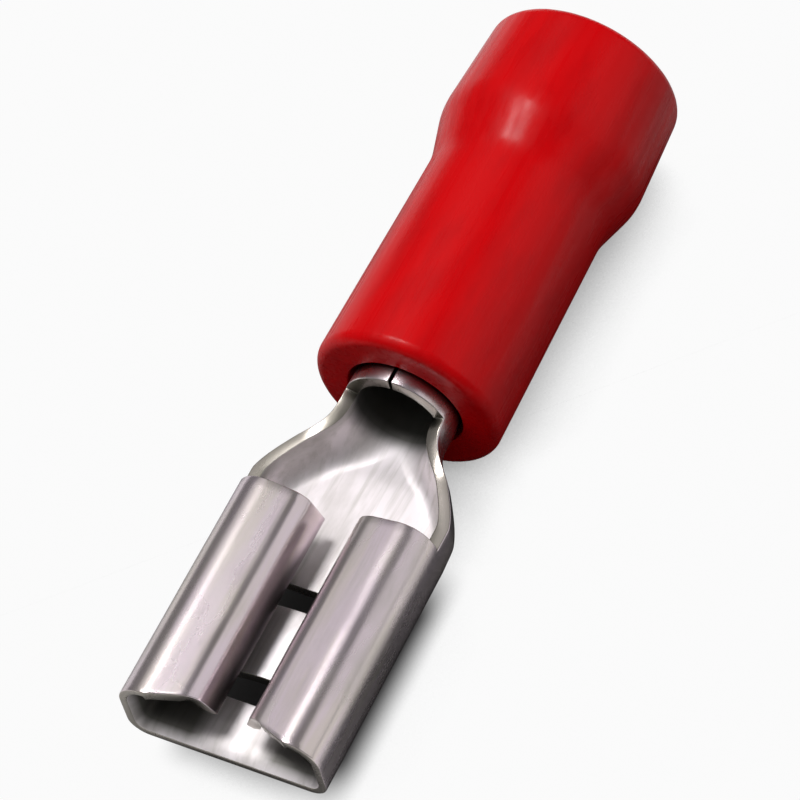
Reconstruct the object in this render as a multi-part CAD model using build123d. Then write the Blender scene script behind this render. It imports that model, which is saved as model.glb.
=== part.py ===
from build123d import *
import os
from collections import namedtuple
from math import asin, cos, degrees, radians, sin

# A female spade terminal: one folded strip of tinned brass, with its wire barrel in a moulded PVC sleeve.
# Sizes are in millimetres. Each piece is drawn with the wire barrel's axis as Y and the front edge of the
# receptacle's floor at y = 0, and is then moved so that the origin lies under the middle of the whole.

# Strip, and the male tab that it takes
sheet = 0.35
tab_width = 4.75
tab_thickness = 0.8
tab_side_room = 0.05
tab_squeeze = 0.12

# Rolled receptacle
receptacle_length = 6.6
corner_bend = 0.2
roll_bend = 0.5
roof_fall = 10.0
roof_rise = 1.11
lip_bend = 0.28
lip_angle = 68.0
lip_gap = 0.8
mouth_trim = 0.6
mouth_lead_length = 0.3
mouth_lead_depth = 0.14

# Locking bridge, a strip of the floor pressed up between two slots
bridge_middle = 3.25
bridge_length = 2.05
bridge_span = 2.35
bridge_rise = 0.16
slot_width = 0.7

# Neck, from the flat floor to the round barrel
neck_length = 3.4
neck_lead = 0.65
neck_tail = 0.25
neck_steps = 14
wall_rise_length = 0.9
wall_rise = 0.4
floor_drop = 1.25

# Wire barrel
barrel_bore = 2.3
barrel_length = 5.8
seam_gap = 0.06
seam_side_angle = 15.0
barrel_floor_angle = 6.0
serration_count = 3
serration_pitch = 1.05
serration_width = 0.3
serration_depth = 0.05
barrel_mouth_chamfer = 0.1

# PVC sleeve
sleeve_length = 11.2
barrel_lead = 0.38
sleeve_clearance = 0.02
sleeve_wall = 1.07
tube_draft = 0.11
front_relief = 0.1
front_relief_depth = 0.8
front_edge_round = 0.3
throat_step = 0.05
throat_length = 0.35
funnel_length = 1.75
wire_entry = 4.0
bell_wall = 0.88
bell_taper = 0.17
bell_length = 3.0
flare_length = 1.45
flare_blend = 2.0
rear_edge_round = 0.3

# Sizes that follow from those above
receptacle_half = tab_width / 2 + tab_side_room + sheet
roll_height = sheet + tab_thickness + roof_rise
corner_outer = corner_bend + sheet
roll_outer = roll_bend + sheet
lip_outer = lip_bend + sheet
barrel_bore_radius = barrel_bore / 2
barrel_radius = barrel_bore_radius + sheet
floor_underside = -floor_drop
floor_top = floor_underside + sheet
wall_top = floor_underside + roll_height - roll_outer
barrel_front = receptacle_length + neck_length
barrel_rear = barrel_front + barrel_length
sleeve_front = barrel_front + barrel_lead
sleeve_rear = sleeve_front + sleeve_length
sleeve_bore_radius = barrel_radius + sleeve_clearance
tube_radius = sleeve_bore_radius + sleeve_wall
entry_radius = wire_entry / 2
bell_radius = entry_radius + bell_wall

# A strip's section is a list of flats and bends, from its middle line outwards
Flat = namedtuple("Flat", "length")
Bend = namedtuple("Bend", "radius angle")


def section_plane(y):
    """Plane across the barrel's axis, with sketch x along X and sketch y along Z."""
    return Plane(origin=(0, y, 0), x_dir=(1, 0, 0), z_dir=(0, -1, 0))


def strip_section(steps, underside):
    """Face of a strip of the sheet's thickness, bent alike on both sides of its middle line."""
    outer = Vector(0, underside)
    inner = Vector(0, underside + sheet)
    heading = 0.0
    half = []
    for step in steps:
        if isinstance(step, Flat):
            travel = Vector(step.length, 0).rotate(Axis.Z, heading)
            next_outer = outer + travel
            next_inner = inner + travel
            half += [Line(outer, next_outer), Line(inner, next_inner)]
        else:
            centre = inner + Vector(0, step.radius).rotate(Axis.Z, heading)
            middle_outer, next_outer = turned(outer, centre, step.angle)
            middle_inner, next_inner = turned(inner, centre, step.angle)
            half += [
                ThreePointArc(outer, middle_outer, next_outer),
                ThreePointArc(inner, middle_inner, next_inner),
            ]
            heading += step.angle
        outer = next_outer
        inner = next_inner
    half.append(Line(outer, inner))
    return make_face(half + [mirror(edge, about=Plane.YZ) for edge in half])


def turned(point, centre, angle):
    """The point half way round a turn about the centre, and the point at its end."""
    arm = point - centre
    return centre + arm.rotate(Axis.Z, angle / 2), centre + arm.rotate(Axis.Z, angle)


def receptacle_section():
    """Floor, sides, roofs and lips of the receptacle, both rolls in one strip."""
    roof_turn = radians(roof_fall)
    lip_turn = radians(lip_angle)
    tip_height = tab_thickness - tab_squeeze + sheet + sheet * cos(lip_turn)
    # From the end of the roll bend to the lip's outer edge, less what the lip bend takes up
    reach = receptacle_half - roll_outer - roll_outer * sin(roof_turn) - lip_gap / 2
    reach -= lip_outer * (sin(lip_turn) - sin(roof_turn))
    drop = roll_height - roll_outer * (1 - cos(roof_turn)) - tip_height
    drop -= lip_outer * (cos(roof_turn) - cos(lip_turn))
    roof_flat = (reach * sin(lip_turn) - drop * cos(lip_turn)) / sin(lip_turn - roof_turn)
    lip_flat = (drop * cos(roof_turn) - reach * sin(roof_turn)) / sin(lip_turn - roof_turn)
    return strip_section(
        [
            Flat(receptacle_half - corner_outer),
            Bend(corner_bend, 90),
            Flat(roll_height - corner_outer - roll_outer),
            Bend(roll_bend, 90 + roof_fall),
            Flat(roof_flat),
            Bend(lip_bend, lip_angle - roof_fall),
            Flat(lip_flat),
        ],
        floor_underside,
    )


def mouth_trim_cut():
    """What the angled ends of the blank take off the front of both rolls, most of it at the lips."""
    roll_middle = receptacle_half - roll_outer
    half_gap = lip_gap / 2
    corners = [(-roll_middle, 0), (-half_gap, mouth_trim), (half_gap, mouth_trim), (roll_middle, 0)]
    plan = make_face(Polyline(*corners, close=True))
    return extrude(Pos(0, 0, floor_top + tab_thickness / 2) * plan, amount=roll_height)


def mouth_lead_cut():
    """The coined lead-in round the inside of the mouth, where the tab finds its way in."""
    front = section_plane(0) * cavity_outline(mouth_lead_depth)
    back = section_plane(mouth_lead_length) * cavity_outline(0)
    return loft([front, back], ruled=True)


def cavity_outline(growth):
    """The space inside the floor, the sides and the roll bends, grown outwards all round."""
    width = 2 * (receptacle_half - sheet + growth)
    height = roll_height - 2 * sheet + 2 * growth
    outline = Rectangle(width, height)
    lower = outline.vertices().sort_by(Axis.Y)[:2]
    outline = fillet(lower, corner_bend + growth)
    upper = outline.vertices().sort_by(Axis.Y)[-2:]
    outline = fillet(upper, roll_bend + growth)
    return Pos(0, floor_underside + roll_height / 2) * outline


def locking_bridge():
    """The arched strip between the two floor slots."""
    half_span = bridge_span / 2
    lower = ThreePointArc((-half_span, 0), (0, bridge_rise), (half_span, 0))
    upper = ThreePointArc((-half_span, sheet), (0, sheet + bridge_rise), (half_span, sheet))
    ends = [Line((side, 0), (side, sheet)) for side in (-half_span, half_span)]
    arch = section_plane(0) * Pos(0, floor_underside) * make_face([lower, upper, *ends])
    return Pos(0, bridge_middle - bridge_length / 2, 0) * extrude(arch, amount=-bridge_length)


def floor_window():
    """The hole in the floor that the bridge and its two slots lie in."""
    window = Rectangle(bridge_span, bridge_length + 2 * slot_width)
    return Pos(0, bridge_middle, floor_underside - sheet) * extrude(window, amount=3 * sheet)


def receptacle():
    """The flat floor with a roll along each side, open at both ends."""
    body = extrude(section_plane(0) * receptacle_section(), amount=-receptacle_length)
    body = body - mouth_trim_cut() - mouth_lead_cut()
    return body - floor_window() + locking_bridge()


def neck():
    """The open trough that narrows from the receptacle's floor to the lower half of the barrel."""
    faces = []
    for step in range(neck_steps):
        share = step / neck_steps
        place = share * neck_length
        taper = min(max((place - neck_lead) / (neck_length - neck_lead - neck_tail), 0), 1)
        ease = (taper + taper * taper * (3 - 2 * taper)) / 2
        climb = max(1 - (neck_length - place) / wall_rise_length, 0)
        half_width = receptacle_half + (barrel_radius - receptacle_half) * ease
        bend = corner_bend + (barrel_bore_radius - corner_bend) * share
        underside = floor_underside - (barrel_radius + floor_underside) * share
        steps = [
            Flat(half_width - bend - sheet),
            Bend(bend, 90),
            Flat(wall_top + wall_rise * climb**2 - underside - bend - sheet),
        ]
        station = section_plane(receptacle_length + neck_length * share)
        faces.append(station * strip_section(steps, underside))
    edge_angle = 90 + degrees(asin((wall_top + wall_rise) / barrel_radius))
    barrel_steps = [
        Bend(barrel_bore_radius, barrel_floor_angle),
        Bend(barrel_bore_radius, edge_angle - barrel_floor_angle - seam_side_angle),
        Bend(barrel_bore_radius, seam_side_angle),
    ]
    faces.append(section_plane(barrel_front) * strip_section(barrel_steps, -barrel_radius))
    return loft(faces, ruled=True)


def wire_barrel():
    """The round barrel with its butt seam on top, crimp serrations inside and a chamfered rear mouth."""
    ring = Circle(barrel_radius) - Circle(barrel_bore_radius)
    barrel = extrude(section_plane(barrel_front) * ring, amount=-barrel_length)
    middle = barrel_front + barrel_length / 2
    barrel -= Pos(0, middle, barrel_radius) * Box(seam_gap, barrel_length, 4 * sheet)
    for number in range(serration_count):
        offset = (number - (serration_count - 1) / 2) * serration_pitch
        groove = Cylinder(barrel_bore_radius + serration_depth, serration_width)
        barrel -= Pos(0, middle + offset, 0) * Rot(90, 0, 0) * groove
    flare = Cone(barrel_bore_radius, barrel_bore_radius + barrel_mouth_chamfer, barrel_mouth_chamfer)
    return barrel - Pos(0, barrel_rear - barrel_mouth_chamfer / 2, 0) * Rot(-90, 0, 0) * flare


def folded_contact():
    """Receptacle, neck and barrel, folded from one strip."""
    return receptacle() + neck() + wire_barrel()


def insulating_sleeve():
    """The moulded sleeve, turned about the barrel's axis."""
    bell_front = sleeve_rear - bell_length
    flare_front = bell_front - flare_length
    shoulder = barrel_rear + sleeve_clearance
    throat_radius = barrel_bore_radius + throat_step
    funnel_front = shoulder + throat_length
    outside = [
        (tube_radius, sleeve_front),
        (tube_radius - tube_draft, flare_front),
        (bell_radius, bell_front),
        (bell_radius - bell_taper, sleeve_rear),
    ]
    inside = [
        (entry_radius, sleeve_rear),
        (entry_radius, funnel_front + funnel_length),
        (throat_radius, funnel_front),
        (throat_radius, shoulder),
        (sleeve_bore_radius, shoulder),
        (sleeve_bore_radius, sleeve_front + front_relief_depth),
        (sleeve_bore_radius + front_relief, sleeve_front + front_relief_depth - front_relief),
        (sleeve_bore_radius + front_relief, sleeve_front),
    ]
    profile = make_face(Polyline(*outside, *inside, close=True))
    profile = fillet(corners_at(profile, outside[1:3]), flare_blend)
    profile = fillet(corners_at(profile, [outside[0]]), front_edge_round)
    profile = fillet(corners_at(profile, [outside[3], inside[0]]), rear_edge_round)
    return revolve(profile, Axis.Y)


def corners_at(profile, points):
    """The corners of a flat profile that lie at the given points."""
    corners = profile.vertices()
    return [min(corners, key=lambda corner: (Vector(corner) - Vector(*point)).length) for point in points]


def main():
    """Builds both pieces, stands them on z = 0 under the middle of the length, and writes them."""
    os.makedirs("parts", exist_ok=True)
    pieces = {"folded_contact": folded_contact(), "insulating_sleeve": insulating_sleeve()}
    lowest = min(piece.bounding_box().min.Z for piece in pieces.values())
    to_row = Pos(0, -sleeve_rear / 2, -lowest)
    for name, piece in pieces.items():
        export_step(to_row * piece, f"parts/{name}.step")


main()
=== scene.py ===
"""Looks for a female spade terminal: a folded, tinned brass contact in a red PVC sleeve.

The pieces' sizes are in millimetres and become metres when a mesh is written. Both pieces are drawn with the
wire barrel's axis as Y and the front edge of the receptacle's floor at y = 0, and are then moved into the row
frame. The studio and the camera are in metres.
"""

import logging
import math
from dataclasses import dataclass, field
from enum import Enum

import bpy
import numpy as np
from mathutils import Matrix, Vector, noise


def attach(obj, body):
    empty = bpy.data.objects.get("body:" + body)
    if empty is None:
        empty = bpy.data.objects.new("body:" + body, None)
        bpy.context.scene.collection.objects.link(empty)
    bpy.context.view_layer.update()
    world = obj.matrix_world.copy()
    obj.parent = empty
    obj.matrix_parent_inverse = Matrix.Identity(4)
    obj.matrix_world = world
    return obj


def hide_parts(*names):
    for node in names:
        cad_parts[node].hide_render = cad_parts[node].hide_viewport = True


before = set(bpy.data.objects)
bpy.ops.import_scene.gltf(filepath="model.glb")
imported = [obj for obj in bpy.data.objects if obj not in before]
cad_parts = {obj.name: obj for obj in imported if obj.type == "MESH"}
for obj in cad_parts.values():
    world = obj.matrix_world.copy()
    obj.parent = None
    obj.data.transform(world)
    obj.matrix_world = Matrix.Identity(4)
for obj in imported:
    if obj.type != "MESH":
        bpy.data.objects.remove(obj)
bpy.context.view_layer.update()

MM = 0.001
BODY = "root"

log = logging.getLogger("terminal")


class Slot(Enum):
    """The record's material slots."""

    TIN = "tinned_brass"
    PVC = "red_pvc"


class Node(Enum):
    """The CAD nodes that the dressed pieces stand for."""

    CONTACT = "folded_contact"
    SLEEVE = "insulating_sleeve"


@dataclass(frozen=True)
class Flat:
    """A straight run of a section, in millimetres, and the columns it is divided into."""

    length: float
    columns: int


@dataclass(frozen=True)
class Bend:
    """A bend of a section: inside radius in millimetres, angle in degrees, and its columns."""

    radius: float
    angle: float
    columns: int


def smooth(share: float) -> float:
    """Ease a share from 0 to 1 with level ends."""
    share = min(max(share, 0.0), 1.0)
    return share * share * (3.0 - 2.0 * share)


def strip_half(steps: list, underside: float, sheet: float) -> np.ndarray:
    """Trace one half of a bent strip's section.

    Args:
        steps: The flats and bends, from the middle line outwards.
        underside: Height of the strip's lower face at the middle line.
        sheet: Thickness of the strip.

    Returns:
        An array of columns by 2 by 2: the outer and the inner point of each column, as x and z.
    """
    heading = 0.0
    outer = np.array([0.0, underside])
    columns = [(outer, outer + (0.0, sheet))]
    for step in steps:
        inner = columns[-1][1]
        outer = columns[-1][0]
        along = np.array([math.cos(heading), math.sin(heading)])
        across = np.array([-along[1], along[0]])
        if isinstance(step, Flat):
            for share in np.linspace(0.0, 1.0, step.columns + 1)[1:]:
                columns.append((outer + along * step.length * share, inner + along * step.length * share))
            continue
        centre = inner + across * step.radius
        for share in np.linspace(0.0, 1.0, step.columns + 1)[1:]:
            turn = heading + math.radians(step.angle) * share
            down = np.array([math.sin(turn), -math.cos(turn)])
            columns.append((centre + down * (step.radius + sheet), centre + down * step.radius))
        heading += math.radians(step.angle)
    return np.array(columns)


def full_section(half: np.ndarray) -> np.ndarray:
    """Mirror one half of a section about x = 0, so that its columns run from left to right."""
    left = half[:0:-1] * np.array([-1.0, 1.0])
    return np.concatenate([left, half])


class SheetMesh:
    """A bent sheet as a closed mesh: two skins of quads and a sheared edge round every border."""

    def __init__(self) -> None:
        """Start with no columns and no cells."""
        self.outer: list[Vector] = []
        self.inner: list[Vector] = []
        self.cells: list[tuple[int, int, int, int]] = []

    def add_row(self, y: np.ndarray, section: np.ndarray) -> list[int]:
        """Add a row of points across the sheet.

        Args:
            y: The place of each column along the part.
            section: The outer and inner point of each column, as x and z.

        Returns:
            The numbers of the row's columns.
        """
        first = len(self.outer)
        for place, (outer, inner) in zip(y, section):
            self.outer.append(Vector((outer[0], place, outer[1])))
            self.inner.append(Vector((inner[0], place, inner[1])))
        return list(range(first, len(self.outer)))

    def join_rows(self, near: list[int], far: list[int], skip: set[int] = frozenset()) -> None:
        """Fill the cells between two rows, apart from the columns that are punched out.

        Args:
            near: The points of the first row.
            far: The points of the second row.
            skip: The columns with no cell.
        """
        for column in range(len(near) - 1):
            if column not in skip:
                self.cells.append((near[column], near[column + 1], far[column + 1], far[column]))

    def build(self, name: str, offset: Vector) -> bpy.types.Object:
        """Write the mesh.

        Args:
            name: The piece's name.
            offset: What moves the sheet into the row frame, in millimetres.

        Returns:
            The piece, with its sheared edges and its inner skin marked as "sheared" and "inside".
        """
        used = sorted({point for cell in self.cells for point in cell})
        number = {point: index for index, point in enumerate(used)}
        count = len(used)
        points = [(self.outer[p] + offset) * MM for p in used] + [(self.inner[p] + offset) * MM for p in used]
        faces = []
        borders = {}
        for cell in self.cells:
            a, b, c, d = (number[p] for p in cell)
            faces.append((d, c, b, a))
            faces.append((a + count, b + count, c + count, d + count))
            for edge in ((a, b), (b, c), (c, d), (d, a)):
                borders[edge] = True
        sheared_from = len(faces)
        for start, end in list(borders):
            if (end, start) not in borders:
                faces.append((start, end, end + count, start + count))
        mesh = bpy.data.meshes.new(name)
        mesh.from_pydata(points, [], faces)
        mesh.update()
        marks = {"sheared": np.zeros(len(faces), np.float32), "inside": np.zeros(len(faces), np.float32)}
        marks["sheared"][sheared_from:] = 1.0
        marks["inside"][1:sheared_from:2] = 1.0
        for mark, values in marks.items():
            mesh.attributes.new(mark, "FLOAT", "FACE").data.foreach_set("value", values)
        piece = bpy.data.objects.new(name, mesh)
        bpy.context.scene.collection.objects.link(piece)
        return piece


class Nodes:
    """Short hand for writing a material's nodes."""

    def __init__(self, name: str) -> None:
        """Make an empty material with a Principled shader."""
        self.material = bpy.data.materials.new(name)
        self.material.use_nodes = True
        self.tree = self.material.node_tree
        self.tree.nodes.clear()
        self.output = self.add("ShaderNodeOutputMaterial")
        self.shader = self.add("ShaderNodeBsdfPrincipled")
        self.link(self.shader, "BSDF", self.output, "Surface")
        self.place = self.add("ShaderNodeTexCoord")

    def add(self, kind: str, **settings: object) -> bpy.types.Node:
        """Add a node and set its plain properties.

        Args:
            kind: The node's type.
            settings: Its properties by name.

        Returns:
            The node.
        """
        node = self.tree.nodes.new(kind)
        for key, value in settings.items():
            setattr(node, key, value)
        return node

    def link(self, source: bpy.types.Node, output: str, target: bpy.types.Node, socket: str | int) -> None:
        """Link a node's output to another's input.

        Args:
            source: The node that gives.
            output: The name of its output.
            target: The node that takes.
            socket: The name or number of its input.
        """
        self.tree.links.new(source.outputs[output], target.inputs[socket])

    def stretched(self, scale: tuple[float, float, float]) -> bpy.types.Node:
        """Give object coordinates per millimetre, stretched along each axis.

        Args:
            scale: How many lumps of a texture go into a millimetre along each axis.

        Returns:
            The node that gives the coordinates.
        """
        mapping = self.add("ShaderNodeMapping")
        mapping.inputs["Scale"].default_value = [value / MM for value in scale]
        self.link(self.place, "Object", mapping, "Vector")
        return mapping

    def cloud(self, scale: tuple[float, float, float], detail: float = 4.0) -> bpy.types.Node:
        """Add a noise whose lumps have a size of their own along each axis.

        Args:
            scale: How many lumps go into a millimetre along each axis.
            detail: How many finer layers it has.

        Returns:
            The noise.
        """
        texture = self.add("ShaderNodeTexNoise")
        texture.inputs["Scale"].default_value = 1.0
        texture.inputs["Detail"].default_value = detail
        texture.inputs["Roughness"].default_value = 0.55
        self.link(self.stretched(scale), "Vector", texture, "Vector")
        return texture

    def graded(
        self, source: bpy.types.Node, output: str, low: float, high: float, to: tuple[float, float]
    ) -> bpy.types.Node:
        """Map a range of values onto another.

        Args:
            source: The node that gives the values.
            output: Its output.
            low: The value that becomes the first of the new range.
            high: The value that becomes the last of it.
            to: The new range, first and last.

        Returns:
            The node that gives the new values.
        """
        grade = self.add("ShaderNodeMapRange")
        grade.inputs["From Min"].default_value = low
        grade.inputs["From Max"].default_value = high
        grade.inputs["To Min"].default_value = to[0]
        grade.inputs["To Max"].default_value = to[1]
        self.link(source, output, grade, "Value")
        return grade

    def mixed(self, factor: bpy.types.Node, output: str, first: object, second: object) -> bpy.types.Node:
        """Mix two colours, each a tuple or a node that gives a colour.

        Args:
            factor: The node that says how much of the second colour there is.
            output: Its output.
            first: The first colour.
            second: The second colour.

        Returns:
            The node that gives the mixed colour.
        """
        mix = self.add("ShaderNodeMix", data_type="RGBA")
        self.tree.links.new(factor.outputs[output], mix.inputs[0])
        for socket, colour in ((6, first), (7, second)):
            if isinstance(colour, tuple):
                mix.inputs[socket].default_value = (*colour, 1.0)
            else:
                self.tree.links.new(colour.outputs[2], mix.inputs[socket])
        return mix

    def bumped(self, layers: list[tuple[bpy.types.Node, str, float]]) -> None:
        """Stack height maps, each with its depth in millimetres, on the shader's normal.

        Args:
            layers: Each map's node, its output and its depth.
        """
        below = None
        for source, output, depth in layers:
            bump = self.add("ShaderNodeBump")
            bump.inputs["Strength"].default_value = 1.0
            bump.inputs["Distance"].default_value = depth * MM
            self.link(source, output, bump, "Height")
            if below:
                self.link(below, "Normal", bump, "Normal")
            below = bump
        self.link(below, "Normal", self.shader, "Normal")


@dataclass(frozen=True)
class TinPlate:
    """Tin plate over brass: drawn streaks, pink and straw tones, painted shade in creases and where the contact
    marks it, brass at sheared edges.
    """

    inside: tuple[float, float, float] = (0.985, 0.93, 0.95)
    worked: tuple[float, float, float] = (0.70, 0.60, 0.65)
    straw: tuple[float, float, float] = (0.65, 0.585, 0.53)
    dull: tuple[float, float, float] = (0.45, 0.43, 0.38)
    brass: tuple[float, float, float] = (0.34, 0.315, 0.265)
    # The dark colour of the painted shade in creases, in the barrel, under the rolls and on the lips.
    painted_shade_colour: tuple[float, float, float] = (0.05, 0.052, 0.035)
    worked_roughness: float = 0.25
    inside_roughness: float = 0.58
    painted_shade_reach: float = 0.9
    streak_depth: float = 0.0014
    pit_depth: float = 0.0015

    def material(self) -> bpy.types.Material:
        """Write the material's nodes.

        Returns:
            The material.
        """
        made = Nodes("tin_plate")
        made.shader.inputs["Metallic"].default_value = 1.0
        patches = made.cloud((0.9, 0.3, 0.9), detail=5.0)
        tones = made.cloud((1.6, 0.22, 1.6), detail=3.0)
        streaks = made.cloud((6.0, 0.3, 3.0), detail=3.0)
        hairlines = made.cloud((30.0, 1.0, 8.0), detail=2.0)
        grain = made.cloud((20.0, 20.0, 20.0), detail=2.0)
        inside = made.add("ShaderNodeAttribute", attribute_name="inside")
        edge = made.add("ShaderNodeAttribute", attribute_name="sheared")
        strawed = made.graded(tones, "Fac", 0.44, 0.64, (0.0, 0.7))
        worked = made.mixed(strawed, "Result", self.worked, self.straw)
        skin = made.mixed(inside, "Fac", worked, self.inside)
        patched = made.graded(patches, "Fac", 0.45, 0.68, (0.0, 0.45))
        dulled = made.mixed(patched, "Result", skin, self.dull)
        drawn = made.graded(streaks, "Fac", 0.5, 0.75, (0.0, 0.35))
        streaked = made.mixed(drawn, "Result", dulled, self.dull)
        bare = made.graded(edge, "Fac", 0.0, 1.0, (0.0, 0.8))
        plated = made.mixed(bare, "Result", streaked, self.brass)
        # Painted shade: the dark colour is mixed in where other metal is close (ambient occlusion) and where
        # the contact's mask marks it.
        recess = made.add("ShaderNodeAmbientOcclusion", samples=8)
        recess.inputs["Distance"].default_value = self.painted_shade_reach * MM
        painted_shade_mask = made.add("ShaderNodeAttribute", attribute_name="painted_shade_mask")
        painted_shade_share = made.add("ShaderNodeMath", operation="MAXIMUM")
        made.link(made.graded(recess, "AO", 0.7, 0.3, (0.0, 0.92)), "Result", painted_shade_share, 0)
        made.link(painted_shade_mask, "Fac", painted_shade_share, 1)
        with_painted_shade = made.mixed(painted_shade_share, "Value", plated, self.painted_shade_colour)
        made.tree.links.new(with_painted_shade.outputs[2], made.shader.inputs["Base Color"])
        self.roughen(made, patches, inside)
        made.bumped([
            (streaks, "Fac", self.streak_depth),
            (hairlines, "Fac", self.streak_depth / 5.0),
            (grain, "Fac", self.pit_depth / 3.0),
        ])
        return made.material

    def roughen(self, made: Nodes, patches: bpy.types.Node, inside: bpy.types.Node) -> None:
        """Make the inner skin rougher than the worked outer skin, both a little uneven.

        Args:
            made: The material's nodes.
            patches: The noise that the roughness follows.
            inside: The attribute that marks the inner skin.
        """
        step = self.inside_roughness - self.worked_roughness
        span = (self.worked_roughness - 0.04, self.worked_roughness + 0.08)
        base = made.graded(patches, "Fac", 0.35, 0.7, span)
        total = made.add("ShaderNodeMath", operation="ADD")
        made.link(base, "Result", total, 0)
        made.link(made.graded(inside, "Fac", 0.0, 1.0, (0.0, step)), "Result", total, 1)
        made.link(total, "Value", made.shader, "Roughness")


@dataclass(frozen=True)
class RedPvc:
    """Semi-gloss moulded PVC: deep red, faintly mottled, with drag marks along its length."""

    colour: tuple[float, float, float] = (0.68, 0.0, 0.002)
    shade: tuple[float, float, float] = (0.5, 0.0, 0.002)
    roughness: float = 0.27
    gloss: float = 0.14
    peel_depth: float = 0.003
    drag_depth: float = 0.0015

    def material(self) -> bpy.types.Material:
        """Write the material's nodes.

        Returns:
            The material.
        """
        made = Nodes("red_pvc_skin")
        shader = made.shader
        mottle = made.cloud((1.1, 0.35, 1.1), detail=4.0)
        drag = made.cloud((5.0, 0.25, 5.0), detail=1.0)
        peel = made.cloud((3.0, 3.0, 3.0), detail=1.0)
        mottled = made.graded(mottle, "Fac", 0.42, 0.66, (0.0, 0.6))
        toned = made.mixed(mottled, "Result", self.colour, self.shade)
        made.tree.links.new(toned.outputs[2], shader.inputs["Base Color"])
        dragged = made.graded(drag, "Fac", 0.3, 0.7, (self.roughness - 0.05, self.roughness + 0.1))
        made.link(dragged, "Result", shader, "Roughness")
        shader.inputs["Specular IOR Level"].default_value = self.gloss
        made.bumped([(peel, "Fac", self.peel_depth), (drag, "Fac", self.drag_depth)])
        return made.material


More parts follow.
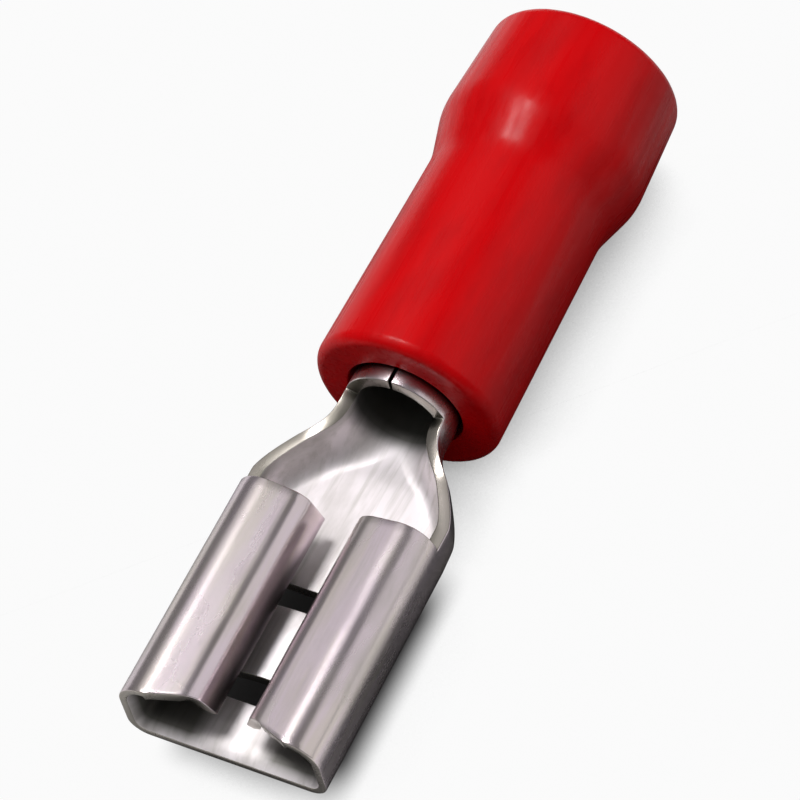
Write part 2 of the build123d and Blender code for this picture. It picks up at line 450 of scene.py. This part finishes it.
@dataclass
class FoldedContact:
    """The folded strip: rolled receptacle with its locking bridge, open neck and round wire barrel."""

    sheet: float = 0.35
    half_width: float = 2.775
    length: float = 6.6
    roll_height: float = 2.26
    corner_bend: float = 0.2
    roll_bend: float = 0.5
    roof_fall: float = 10.0
    lip_bend: float = 0.28
    lip_angle: float = 68.0
    lip_gap: float = 0.8
    lip_height: float = 0.68
    mouth_trim: float = 0.6
    trim_reach: float = 1.4
    lead_length: float = 0.3
    lead_depth: float = 0.14
    bridge_middle: float = 3.25
    bridge_length: float = 2.05
    bridge_span: float = 2.35
    bridge_rise: float = 0.16
    slot_width: float = 0.7
    neck_length: float = 3.4
    neck_lead: float = 0.65
    neck_tail: float = 0.25
    wall_rise_length: float = 0.9
    wall_rise: float = 0.4
    floor_drop: float = 1.25
    barrel_bore: float = 1.15
    barrel_length: float = 5.8
    seam_gap: float = 0.06
    groove_pitch: float = 1.05
    groove_width: float = 0.3
    groove_flank: float = 0.02
    groove_depth: float = 0.05
    edge_round: float = 0.045
    unevenness: float = 0.012
    bridge_columns: int = 6
    beside_columns: int = 5
    corner_columns: int = 8
    side_columns: int = 4
    # How dark the painted shade is in the barrel, under the rolls, on the neck's walls beside them and on the
    # lips' outer faces.
    barrel_painted_shade: float = 0.9
    roll_painted_shade: float = 0.85
    wall_painted_shade: float = 0.6
    lip_painted_shade: float = 0.5
    finish: TinPlate = field(default_factory=TinPlate)

    @property
    def floor_columns(self) -> int:
        """How many columns lie between the middle line and the corner bend."""
        return self.bridge_columns + self.beside_columns

    @property
    def slot_front(self) -> float:
        """Place of the front slot's front edge."""
        return self.bridge_middle - self.bridge_length / 2 - self.slot_width

    @property
    def underside(self) -> float:
        """Height of the floor's underside, from the barrel's axis."""
        return -self.floor_drop

    @property
    def wall_top(self) -> float:
        """Height at which the roll bends start and the neck's walls end."""
        return self.underside + self.roll_height - self.roll_bend - self.sheet

    @property
    def barrel_radius(self) -> float:
        """Outer radius of the wire barrel."""
        return self.barrel_bore + self.sheet

    def receptacle_half(self) -> np.ndarray:
        """Trace half of the receptacle's section, from the floor's middle to the lip.

        Returns:
            The outer and inner point of each column, as x and z.
        """
        roll_outer = self.roll_bend + self.sheet
        lip_outer = self.lip_bend + self.sheet
        corner_outer = self.corner_bend + self.sheet
        roof = math.radians(self.roof_fall)
        lip = math.radians(self.lip_angle)
        tip = self.lip_height + self.sheet + self.sheet * math.cos(lip)
        reach = self.half_width - roll_outer - roll_outer * math.sin(roof) - self.lip_gap / 2
        reach -= lip_outer * (math.sin(lip) - math.sin(roof))
        drop = self.roll_height - roll_outer * (1 - math.cos(roof)) - tip
        drop -= lip_outer * (math.cos(roof) - math.cos(lip))
        roof_flat = (reach * math.sin(lip) - drop * math.cos(lip)) / math.sin(lip - roof)
        lip_flat = (drop * math.cos(roof) - reach * math.sin(roof)) / math.sin(lip - roof)
        return strip_half(
            [
                Flat(self.bridge_span / 2, self.bridge_columns),
                Flat(self.half_width - corner_outer - self.bridge_span / 2, self.beside_columns),
                Bend(self.corner_bend, 90.0, self.corner_columns),
                Flat(self.roll_height - corner_outer - roll_outer, self.side_columns),
                Bend(self.roll_bend, 90.0 + self.roof_fall, 22),
                Flat(roof_flat, 6),
                Bend(self.lip_bend, self.lip_angle - self.roof_fall, 10),
                Flat(lip_flat, 3),
            ],
            self.underside,
            self.sheet,
        )

    @property
    def wall_columns(self) -> int:
        """How many columns lie between the middle line and the top of the neck's wall."""
        return self.floor_columns + self.corner_columns + self.side_columns

    def neck_half(self, share: float) -> np.ndarray:
        """Trace half of the neck's section at a share of its length from the receptacle.

        Args:
            share: The share, from 0 at the receptacle to 1 at the barrel.

        Returns:
            The outer and inner point of each column, as x and z.
        """
        taper_length = self.neck_length - self.neck_lead - self.neck_tail
        tapered = min(max((share * self.neck_length - self.neck_lead) / taper_length, 0.0), 1.0)
        eased = (tapered + smooth(tapered)) / 2
        half_width = self.half_width + (self.barrel_radius - self.half_width) * eased
        bend = self.corner_bend + (self.barrel_bore - self.corner_bend) * share
        underside = self.underside - (self.barrel_radius + self.underside) * share
        floor = half_width - bend - self.sheet
        climb = max(1.0 - (1.0 - share) * self.neck_length / self.wall_rise_length, 0.0)
        wall_end = self.wall_top + self.wall_rise * climb ** 2
        straight = strip_half(
            [
                Flat(floor * 0.53, self.bridge_columns),
                Flat(floor * 0.47, self.beside_columns),
                Bend(bend, 90.0, self.corner_columns),
                Flat(wall_end - underside - bend - self.sheet, self.side_columns),
            ],
            underside,
            self.sheet,
        )
        barrel = self.barrel_half()[: self.wall_columns + 1]
        return straight + (barrel - straight) * smooth((share - 0.55) / 0.45)

    def barrel_half(self) -> np.ndarray:
        """Trace half of the barrel's ring, from its bottom to the butt seam.

        Returns:
            The outer and inner point of each column, as x and z.
        """
        edge = 90.0 + math.degrees(math.asin((self.wall_top + self.wall_rise) / self.barrel_radius))
        seam = 180.0 - math.degrees(self.seam_gap / 2 / self.barrel_bore)
        floor_angle, top_angle = 10.0, 12.0
        return strip_half(
            [
                Bend(self.barrel_bore, floor_angle, self.floor_columns),
                Bend(self.barrel_bore, edge - floor_angle - top_angle, self.corner_columns),
                Bend(self.barrel_bore, top_angle, self.side_columns),
                Bend(self.barrel_bore, seam - edge, 22),
            ],
            -self.barrel_radius,
            self.sheet,
        )

    def receptacle_rows(self) -> np.ndarray:
        """Places of the receptacle's rows, with one at each edge of the slots.

        Returns:
            The places in order.
        """
        bridge_front = self.slot_front + self.slot_width
        bridge_rear = bridge_front + self.bridge_length
        slot_rear = bridge_rear + self.slot_width
        stops = [(0.0, 1), (0.15, 1), (self.lead_length, 1), (0.55, 3), (self.slot_front, 3)]
        stops += [(bridge_front, 8), (bridge_rear, 3), (slot_rear, 6), (self.length, 0)]
        rows = []
        for (start, parts), (end, _) in zip(stops, stops[1:]):
            rows += list(np.linspace(start, end, parts, endpoint=False))
        return np.array(rows + [self.length])

    def mouth_places(self, row: float, section: np.ndarray) -> np.ndarray:
        """Move a row's roof columns back, as the angled ends of the blank do.

        Args:
            row: The row's place on the floor.
            section: The row's points.

        Returns:
            The place of each column along the part.
        """
        roll_middle = self.half_width - self.roll_bend - self.sheet
        across = np.abs(section[:, 0, 0])
        over = section[:, 1, 1] > self.underside + self.sheet + 0.3
        share = np.clip((roll_middle - across) / (roll_middle - self.lip_gap / 2), 0.0, 1.0)
        setback = self.mouth_trim * share * over
        return row + setback * max(0.0, 1.0 - row / self.trim_reach)

    def led_in(self, row: float, section: np.ndarray) -> np.ndarray:
        """Thin the mouth from inside, where the tab finds its way in.

        Args:
            row: The row's place on the floor.
            section: The row's points.

        Returns:
            The row's points, thinned.
        """
        growth = self.lead_depth * max(0.0, 1.0 - row / self.lead_length)
        if growth == 0.0:
            return section
        coined = section.copy()
        outward = section[:, 0] - section[:, 1]
        outward /= np.linalg.norm(outward, axis=1)[:, None]
        roll_middle = self.half_width - self.roll_bend - self.sheet
        over = section[:, 1, 1] > self.underside + self.roll_height / 2
        roof = over & (np.abs(section[:, 1, 0]) < roll_middle)
        coined[:, 1] += outward * growth * np.where(roof, 0.0, 1.0)[:, None]
        return coined

    def arched(self, row: float, section: np.ndarray) -> np.ndarray:
        """Raise the floor's middle where the locking bridge is.

        Args:
            row: The row's place on the floor.
            section: The row's points.

        Returns:
            The row's points, raised.
        """
        if abs(row - self.bridge_middle) > self.bridge_length / 2 + 1e-6:
            return section
        raised = section.copy()
        half_span = self.bridge_span / 2
        radius = (half_span ** 2 + self.bridge_rise ** 2) / (2 * self.bridge_rise)
        across = np.abs(section[:, 0, 0])
        flat = (section[:, 1, 1] < self.underside + self.sheet + 1e-6) & (across <= half_span + 1e-6)
        lift = np.sqrt(radius ** 2 - np.clip(across, 0, half_span) ** 2) - (radius - self.bridge_rise)
        raised[:, :, 1] += (lift * flat)[:, None]
        return raised

    def serrated(self, row: float, section: np.ndarray) -> np.ndarray:
        """Cut the three crimp grooves inside the barrel.

        Args:
            row: The row's place along the part.
            section: The row's points.

        Returns:
            The row's points, grooved.
        """
        middle = self.length + self.neck_length + self.barrel_length / 2
        off_groove = min(abs(row - middle - self.groove_pitch * step) for step in (-1, 0, 1))
        if off_groove > self.groove_width / 2 + 0.001:
            return section
        grooved = section.copy()
        grooved[:, 1] *= (self.barrel_bore + self.groove_depth) / self.barrel_bore
        return grooved

    def barrel_rows(self) -> list[float]:
        """Places of the barrel's rows, close together at the crimp grooves.

        Returns:
            The places in order.
        """
        front = self.length + self.neck_length
        middle = front + self.barrel_length / 2
        rows = list(np.linspace(front, middle - 1.4, 6))
        for step in (-1, 0, 1):
            groove = middle + self.groove_pitch * step
            near = self.groove_width / 2
            far = near + self.groove_flank
            rows += [groove - far, groove - near, groove + near, groove + far]
        return rows + list(np.linspace(middle + 1.4, front + self.barrel_length, 5))

    def build(self, offset: Vector) -> bpy.types.Object:
        """Build, round and dress the contact.

        Args:
            offset: What moves the part into the row frame, in millimetres.

        Returns:
            The piece.
        """
        sheet = SheetMesh()
        section = full_section(self.receptacle_half())
        middle = len(section) // 2
        window = set(range(middle - self.bridge_columns, middle + self.bridge_columns))
        slot_rear = self.slot_front + 2 * self.slot_width + self.bridge_length
        rows = self.receptacle_rows()
        last = None
        for index, row in enumerate(rows):
            shaped = self.arched(row, self.led_in(row, section))
            added = sheet.add_row(self.mouth_places(row, section), shaped)
            if last is not None:
                between = (rows[index - 1] + row) / 2
                in_bridge = abs(between - self.bridge_middle) < self.bridge_length / 2
                punched = self.slot_front < between < slot_rear and not in_bridge
                sheet.join_rows(last, added, window if punched else frozenset())
            last = added
        last = last[middle - self.wall_columns: middle + self.wall_columns + 1]
        for share in np.linspace(0.0, 1.0, 36)[1:-1]:
            section = full_section(self.neck_half(share))
            row = self.length + self.neck_length * share
            added = sheet.add_row(np.full(len(section), row), section)
            sheet.join_rows(last, added)
            last = added
        ring = full_section(self.barrel_half())
        middle = len(ring) // 2
        shared = slice(middle - self.wall_columns, middle + self.wall_columns + 1)
        for index, row in enumerate(self.barrel_rows()):
            added = sheet.add_row(np.full(len(ring), row), self.serrated(row, ring))
            sheet.join_rows(last, added[shared] if index == 0 else added)
            last = added
        piece = sheet.build("contact_strip", offset)
        self.mark_painted_shade(piece, offset)
        self.wave(piece)
        self.round_edges(piece)
        piece.data.materials.append(self.finish.material())
        return piece

    def mark_painted_shade(self, piece: bpy.types.Object, offset: Vector) -> None:
        """Mark where painted shade goes: in the barrel, under and beside the rolls, on the lips' outer faces.

        Args:
            piece: The contact.
            offset: What moved it into the row frame, in millimetres.
        """
        barrel = self.length + self.neck_length
        floor = self.underside + self.sheet
        roll = self.half_width - self.roll_bend
        vertices = piece.data.vertices
        marks = np.zeros(len(vertices), np.float32)
        for index, vertex in enumerate(vertices):
            place = vertex.co / MM - offset
            across = abs(place.x)
            in_receptacle = smooth(place.y / 0.3) * smooth((self.length - place.y) / 0.6)
            if index < len(vertices) // 2:
                on_lip = floor < place.z < floor + 1.0 and across < roll - 0.6
                marks[index] = self.lip_painted_shade * in_receptacle * on_lip
            elif place.y > barrel - 0.6:
                marks[index] = self.barrel_painted_shade * smooth((place.y - barrel + 0.4) / 0.5)
            else:
                under_roll = smooth((across - self.lip_gap / 2 - 0.15) / 0.7) * in_receptacle
                up_wall = smooth((place.z - floor - 0.5) / 0.5)
                beside_roll = up_wall * smooth((self.length + 1.5 - place.y) / 1.3)
                in_neck = place.y > self.length - 0.01
                marks[index] = max(self.roll_painted_shade * under_roll, self.wall_painted_shade * beside_roll * in_neck)
        piece.data.attributes.new("painted_shade_mask", "FLOAT", "POINT").data.foreach_set("value", marks)

    def wave(self, piece: bpy.types.Object) -> None:
        """Give the sheet the slight unevenness of pressed metal, inwards only, so that it stays in its box.

        Args:
            piece: The contact.
        """
        mesh = piece.data
        half = len(mesh.vertices) // 2
        for index in range(half):
            outer, inner = mesh.vertices[index], mesh.vertices[index + half]
            place = outer.co / MM
            lump = noise.noise(Vector((place.x * 0.8, place.y * 0.45, place.z * 0.8)))
            through = (inner.co - outer.co).normalized()
            shift = through * (0.5 + 0.5 * lump) * self.unevenness * MM
            outer.co += shift
            inner.co += shift
        mesh.update()

    def round_edges(self, piece: bpy.types.Object) -> None:
        """Round the sheared edges and smooth the bends.

        Args:
            piece: The contact.
        """
        piece.data.polygons.foreach_set("use_smooth", [True] * len(piece.data.polygons))
        bevel = piece.modifiers.new("sheared_edge_round", "BEVEL")
        bevel.width = self.edge_round * MM
        bevel.segments = 3
        bevel.limit_method = "ANGLE"
        bevel.angle_limit = math.radians(50.0)
        bevel.harden_normals = False
        bevel.use_clamp_overlap = True
        weighted = piece.modifiers.new("even_shading", "WEIGHTED_NORMAL")
        weighted.keep_sharp = True
        weighted.weight = 60


@dataclass
class InsulatingSleeve:
    """The moulded sleeve: a plain tube that flares into the wider bell over the wire's insulation."""

    front: float = 10.38
    length: float = 11.2
    bore: float = 1.52
    wall: float = 1.07
    draft: float = 0.11
    relief: float = 0.1
    relief_depth: float = 0.8
    front_round: float = 0.3
    shoulder: float = 15.82
    throat: float = 1.2
    throat_length: float = 0.35
    funnel_length: float = 1.75
    entry: float = 2.0
    bell_wall: float = 0.88
    bell_taper: float = 0.17
    bell_length: float = 3.0
    flare_length: float = 1.45
    flare_blend: float = 2.0
    rear_round: float = 0.3
    turns: int = 160
    unevenness: float = 0.014
    finish: RedPvc = field(default_factory=RedPvc)

    def profile(self) -> list[tuple[float, float]]:
        """Trace the wall's outline as radius and place, round its corners and divide its long runs.

        Returns:
            The outline's points in order, as radius and place.
        """
        rear = self.front + self.length
        bell_front = rear - self.bell_length
        tube = self.bore + self.wall
        bell = self.entry + self.bell_wall
        funnel_front = self.shoulder + self.throat_length
        step = 0.04
        corners = [
            (tube, self.front, self.front_round),
            (tube - self.draft, bell_front - self.flare_length, self.flare_blend),
            (bell, bell_front, self.flare_blend),
            (bell - self.bell_taper, rear, self.rear_round),
            (self.entry, rear, self.rear_round),
            (self.entry, funnel_front + self.funnel_length, 0.3),
            (self.throat, funnel_front, 0.1),
            (self.throat, self.shoulder, step),
            (self.bore, self.shoulder, step),
            (self.bore, self.front + self.relief_depth, step),
            (self.bore + self.relief, self.front + self.relief_depth - self.relief, step),
            (self.bore + self.relief, self.front, step),
        ]
        points = []
        for index, (radius, place, bend) in enumerate(corners):
            before = np.array(corners[index - 1][:2])
            here = np.array((radius, place))
            after = np.array(corners[(index + 1) % len(corners)][:2])
            points += round_corner(before, here, after, bend, 10 if bend > 0.2 else 4)
        return divided(points, 0.35)

    def build(self, offset: Vector) -> bpy.types.Object:
        """Turn the profile about the barrel's axis and dress it.

        Args:
            offset: What moves the part into the row frame, in millimetres.

        Returns:
            The piece.
        """
        profile = self.profile()
        points, faces = [], []
        for turn in range(self.turns):
            angle = 2 * math.pi * turn / self.turns
            for radius, place in profile:
                lump = noise.noise(Vector((math.sin(angle) * 1.3, place * 0.4, math.cos(angle) * 1.3)))
                drag = noise.noise(Vector((math.sin(angle) * 9.0, place * 0.15, math.cos(angle) * 9.0)))
                inset = self.unevenness * (0.5 + 0.35 * lump + 0.15 * drag)
                reach = radius - inset
                point = Vector((reach * math.sin(angle), place, reach * math.cos(angle)))
                points.append((point + offset) * MM)
        count = len(profile)
        for turn in range(self.turns):
            near, far = turn * count, (turn + 1) % self.turns * count
            for step in range(count):
                following = (step + 1) % count
                faces.append((near + step, far + step, far + following, near + following))
        mesh = bpy.data.meshes.new("sleeve_skin")
        mesh.from_pydata(points, [], faces)
        mesh.update()
        mesh.polygons.foreach_set("use_smooth", [True] * len(mesh.polygons))
        piece = bpy.data.objects.new("sleeve_skin", mesh)
        bpy.context.scene.collection.objects.link(piece)
        piece.data.materials.append(self.finish.material())
        return piece


def round_corner(before: np.ndarray, here: np.ndarray, after: np.ndarray, radius: float, parts: int) -> list:
    """Replace a corner of a flat outline by an arc.

    Args:
        before: The corner before.
        here: The corner to round.
        after: The corner after.
        radius: The arc's radius.
        parts: How many runs the arc is made of.

    Returns:
        The arc's points in order.
    """
    back = (before - here) / np.linalg.norm(before - here)
    ahead = (after - here) / np.linalg.norm(after - here)
    half = math.acos(max(-1.0, min(1.0, float(back @ ahead)))) / 2
    away = radius / math.tan(half)
    start, end = here + back * away, here + ahead * away
    middle = (back + ahead) / np.linalg.norm(back + ahead)
    centre = here + middle * radius / math.sin(half)
    points = []
    for share in np.linspace(0.0, 1.0, parts + 1):
        arm = (start - centre) * (1 - share) + (end - centre) * share
        points.append(centre + arm / np.linalg.norm(arm) * radius)
    return points


def divided(points: list, longest: float) -> list[tuple[float, float]]:
    """Divide the runs of a closed outline so that none is longer than a given length.

    Args:
        points: The outline's corners in order.
        longest: The greatest length of a run.

    Returns:
        The divided outline's points in order.
    """
    result = []
    for index, here in enumerate(points):
        after = points[(index + 1) % len(points)]
        parts = max(1, int(math.ceil(np.linalg.norm(after - here) / longest)))
        for part in range(parts):
            result.append(tuple(here + (after - here) * part / parts))
    return result


@dataclass(frozen=True)
class Softbox:
    """A square soft lamp: where it hangs from the terminal and its side in metres, its power in watts."""

    name: str
    place: tuple[float, float, float]
    side: float
    power: float

    def hang(self) -> bpy.types.Object:
        """Hang the lamp so that it faces the terminal.

        Returns:
            The lamp.
        """
        data = bpy.data.lights.new(self.name, "AREA")
        data.shape = "SQUARE"
        data.size = self.side
        data.energy = self.power
        lamp = bpy.data.objects.new(self.name, data)
        lamp.location = self.place
        lamp.rotation_euler = (-Vector(self.place)).to_track_quat("-Z", "Y").to_euler()
        bpy.context.scene.collection.objects.link(lamp)
        return lamp


@dataclass
class Studio:
    """White paper floor, a dim even room and soft lamps, in metres.

    The paper's own colour is dark, and its white is what straight and reflected rays find there. That white is
    cut by a painted shadow:
    less where the terminal stands over the paper, and none right under the contact. This last painted shadow is
    in
    millimetres: across and along the part, it is full up to the near reach from its middle, and gone at the far
    one.
    """

    floor_size: float = 3.0
    room_level: float = 0.2
    paper: float = 0.08
    white_most: float = 0.96
    shade_reach: float = 0.003
    shade_limits: tuple[float, float] = (0.05, 0.6)
    reflected_reach: float = 0.02
    reflected_limits: tuple[float, float] = (0.85, 1.0)
    contact_middle: float = -6.8
    across_reach: tuple[float, float] = (1.8, 2.8)
    along_reach: tuple[float, float] = (2.1, 4.1)
    lamps: tuple[Softbox, ...] = (
        Softbox("key_softbox", (-0.045, 0.006, 0.153), 0.05, 0.14),
        Softbox("top_card", (-0.08, 0.084, 0.165), 0.13, 0.028),
        Softbox("right_card", (0.15, 0.085, 0.1), 0.19, 0.07),
        Softbox("front_card", (-0.08, -0.09, 0.18), 0.12, 0.045),
    )

    def build(self) -> None:
        """Lay the floor and hang the lamps."""
        self.lay_floor()
        self.light_room()
        for lamp in self.lamps:
            lamp.hang()

    def lay_floor(self) -> None:
        """Lay the paper under the terminal: white away from it, with a painted shadow close to it."""
        half = self.floor_size / 2
        mesh = bpy.data.meshes.new("floor")
        corners = [(-half, -half, 0), (half, -half, 0), (half, half, 0), (-half, half, 0)]
        mesh.from_pydata(corners, [], [(0, 1, 2, 3)])
        floor = bpy.data.objects.new("floor", mesh)
        bpy.context.scene.collection.objects.link(floor)
        made = Nodes("pale_paper")
        made.shader.inputs["Base Color"].default_value = (self.paper, self.paper, self.paper, 1.0)
        made.shader.inputs["Roughness"].default_value = 0.9
        made.shader.inputs["Specular IOR Level"].default_value = 0.0
        made.bumped([(made.cloud((3.0, 3.0, 3.0), detail=2.0), "Fac", 0.002)])
        white = made.add("ShaderNodeEmission")
        white.inputs["Color"].default_value = (1.0, 1.0, 1.0, 1.0)
        white.inputs["Strength"].default_value = 1.0
        path = made.add("ShaderNodeLightPath")
        direct = made.add("ShaderNodeMath", operation="MAXIMUM")
        made.link(path, "Is Camera Ray", direct, 0)
        made.link(path, "Is Transmission Ray", direct, 1)
        open_paper = self.shaded(made, direct, "Value", self.shade_reach, self.shade_limits)
        # Painted shadow: the white is taken off near the terminal and right under the contact.
        near = made.add("ShaderNodeMath", operation="MULTIPLY")
        made.link(open_paper, "Value", near, 0)
        made.link(self.beside_contact(made), "Value", near, 1)
        wide = self.shaded(made, path, "Is Glossy Ray", self.reflected_reach, self.reflected_limits)
        share = made.add("ShaderNodeMath", operation="MAXIMUM")
        made.link(near, "Value", share, 0)
        made.link(wide, "Value", share, 1)
        mix = made.add("ShaderNodeMixShader")
        made.link(share, "Value", mix, 0)
        made.link(made.shader, "BSDF", mix, 1)
        made.link(white, "Emission", mix, 2)
        made.link(mix, "Shader", made.output, "Surface")
        floor.data.materials.append(made.material)

    def beside_contact(self, made: Nodes) -> bpy.types.Node:
        """Give 0 on the paper right under the contact, a painted shadow where little light comes, and 1 beside
        it.

        Args:
            made: The paper's nodes.

        Returns:
            The node whose value it is.
        """
        parts = made.add("ShaderNodeSeparateXYZ")
        made.link(made.place, "Object", parts, "Vector")
        under = made.add("ShaderNodeMath", operation="MULTIPLY")
        sides = (("X", 0.0, self.across_reach), ("Y", self.contact_middle, self.along_reach))
        for index, (axis, middle, (near, far)) in enumerate(sides):
            shift = made.add("ShaderNodeMath", operation="SUBTRACT")
            shift.inputs[1].default_value = middle * MM
            made.link(parts, axis, shift, 0)
            away = made.add("ShaderNodeMath", operation="ABSOLUTE")
            made.link(shift, "Value", away, 0)
            share = made.graded(away, "Value", near * MM, far * MM, (1.0, 0.0))
            share.interpolation_type = "SMOOTHSTEP"
            made.link(share, "Result", under, index)
        beside = made.add("ShaderNodeMath", operation="SUBTRACT")
        beside.inputs[0].default_value = 1.0
        made.link(under, "Value", beside, 1)
        return beside

    def shaded(
        self, made: Nodes, rays: bpy.types.Node, output: str, reach: float, limits: tuple[float, float]
    ) -> bpy.types.Node:
        """Give the white that some rays see on the paper, with a painted shadow where the terminal stands over
        it.

        Args:
            made: The paper's nodes.
            rays: The node that picks the rays.
            output: Its output.
            reach: How far from the terminal its shade goes, in metres.
            limits: The openness at which the paper is all shade, and all white.

        Returns:
            The node whose value is the share of white.
        """
        openness = made.add("ShaderNodeAmbientOcclusion", samples=8)
        openness.inputs["Distance"].default_value = reach
        seen = made.add("ShaderNodeMath", operation="MULTIPLY")
        made.link(rays, output, seen, 0)
        white = made.graded(openness, "AO", limits[0], limits[1], (0.0, self.white_most))
        made.link(white, "Result", seen, 1)
        return seen

    def light_room(self) -> None:
        """Fill from a dim, even room."""
        world = bpy.data.worlds.new("room")
        bpy.context.scene.world = world
        world.use_nodes = True
        background = world.node_tree.nodes["Background"]
        background.inputs["Color"].default_value = (1.0, 1.0, 1.0, 1.0)
        background.inputs["Strength"].default_value = self.room_level


@dataclass
class PhotoCamera:
    """The camera at the photograph's viewing angle."""

    rotation: tuple[float, float, float] = (2.51018302, 0.51191918, -0.37412436)
    shift: tuple[float, float, float] = (0.74403401, 1.37825447, 109.454182)
    focal_pixels: float = 4229.66
    picture: int = 800
    sensor: float = 36.0

    def build(self) -> bpy.types.Object:
        """Set the camera up from the turn and the shift that take the row frame to its view.

        Returns:
            The camera.
        """
        turn = Vector(self.rotation)
        to_view = Matrix.Rotation(turn.length, 3, turn.normalized())
        place = -(to_view.transposed() @ Vector(self.shift)) * MM
        data = bpy.data.cameras.new("photo_camera")
        data.sensor_width = self.sensor
        data.lens = self.focal_pixels * self.sensor / self.picture
        data.clip_start = 0.001
        data.clip_end = 10.0
        camera = bpy.data.objects.new("photo_camera", data)
        bpy.context.scene.collection.objects.link(camera)
        rows = [to_view[0], -to_view[1], -to_view[2]]
        camera.matrix_world = Matrix.Translation(place) @ Matrix(rows).transposed().to_4x4()
        bpy.context.scene.camera = camera
        return camera


def place_piece(piece: bpy.types.Object, node: Node) -> None:
    """Let a piece ride on the body and stand for its CAD node.

    Args:
        piece: The piece.
        node: The CAD node that it stands for.
    """
    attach(piece, BODY)
    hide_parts(node.value)
    log.info("%s stands for %s: %d faces", piece.name, node.value, len(piece.data.polygons))


def main() -> None:
    """Build the pieces in order, then the studio and the camera."""
    logging.basicConfig(level=logging.INFO, format="%(name)s: %(message)s")
    contact = FoldedContact()
    sleeve = InsulatingSleeve()
    rear = sleeve.front + sleeve.length
    # The blend at the bell's front takes this much off its widest radius.
    blend_loss = 0.015
    axis_height = sleeve.entry + sleeve.bell_wall - blend_loss
    offset = Vector((0.0, -rear / 2, axis_height))
    place_piece(contact.build(offset), Node.CONTACT)
    place_piece(sleeve.build(offset), Node.SLEEVE)
    Studio().build()
    PhotoCamera().build()
    bpy.context.scene.view_settings.view_transform = "Standard"


if __name__ == "__main__":
    main()
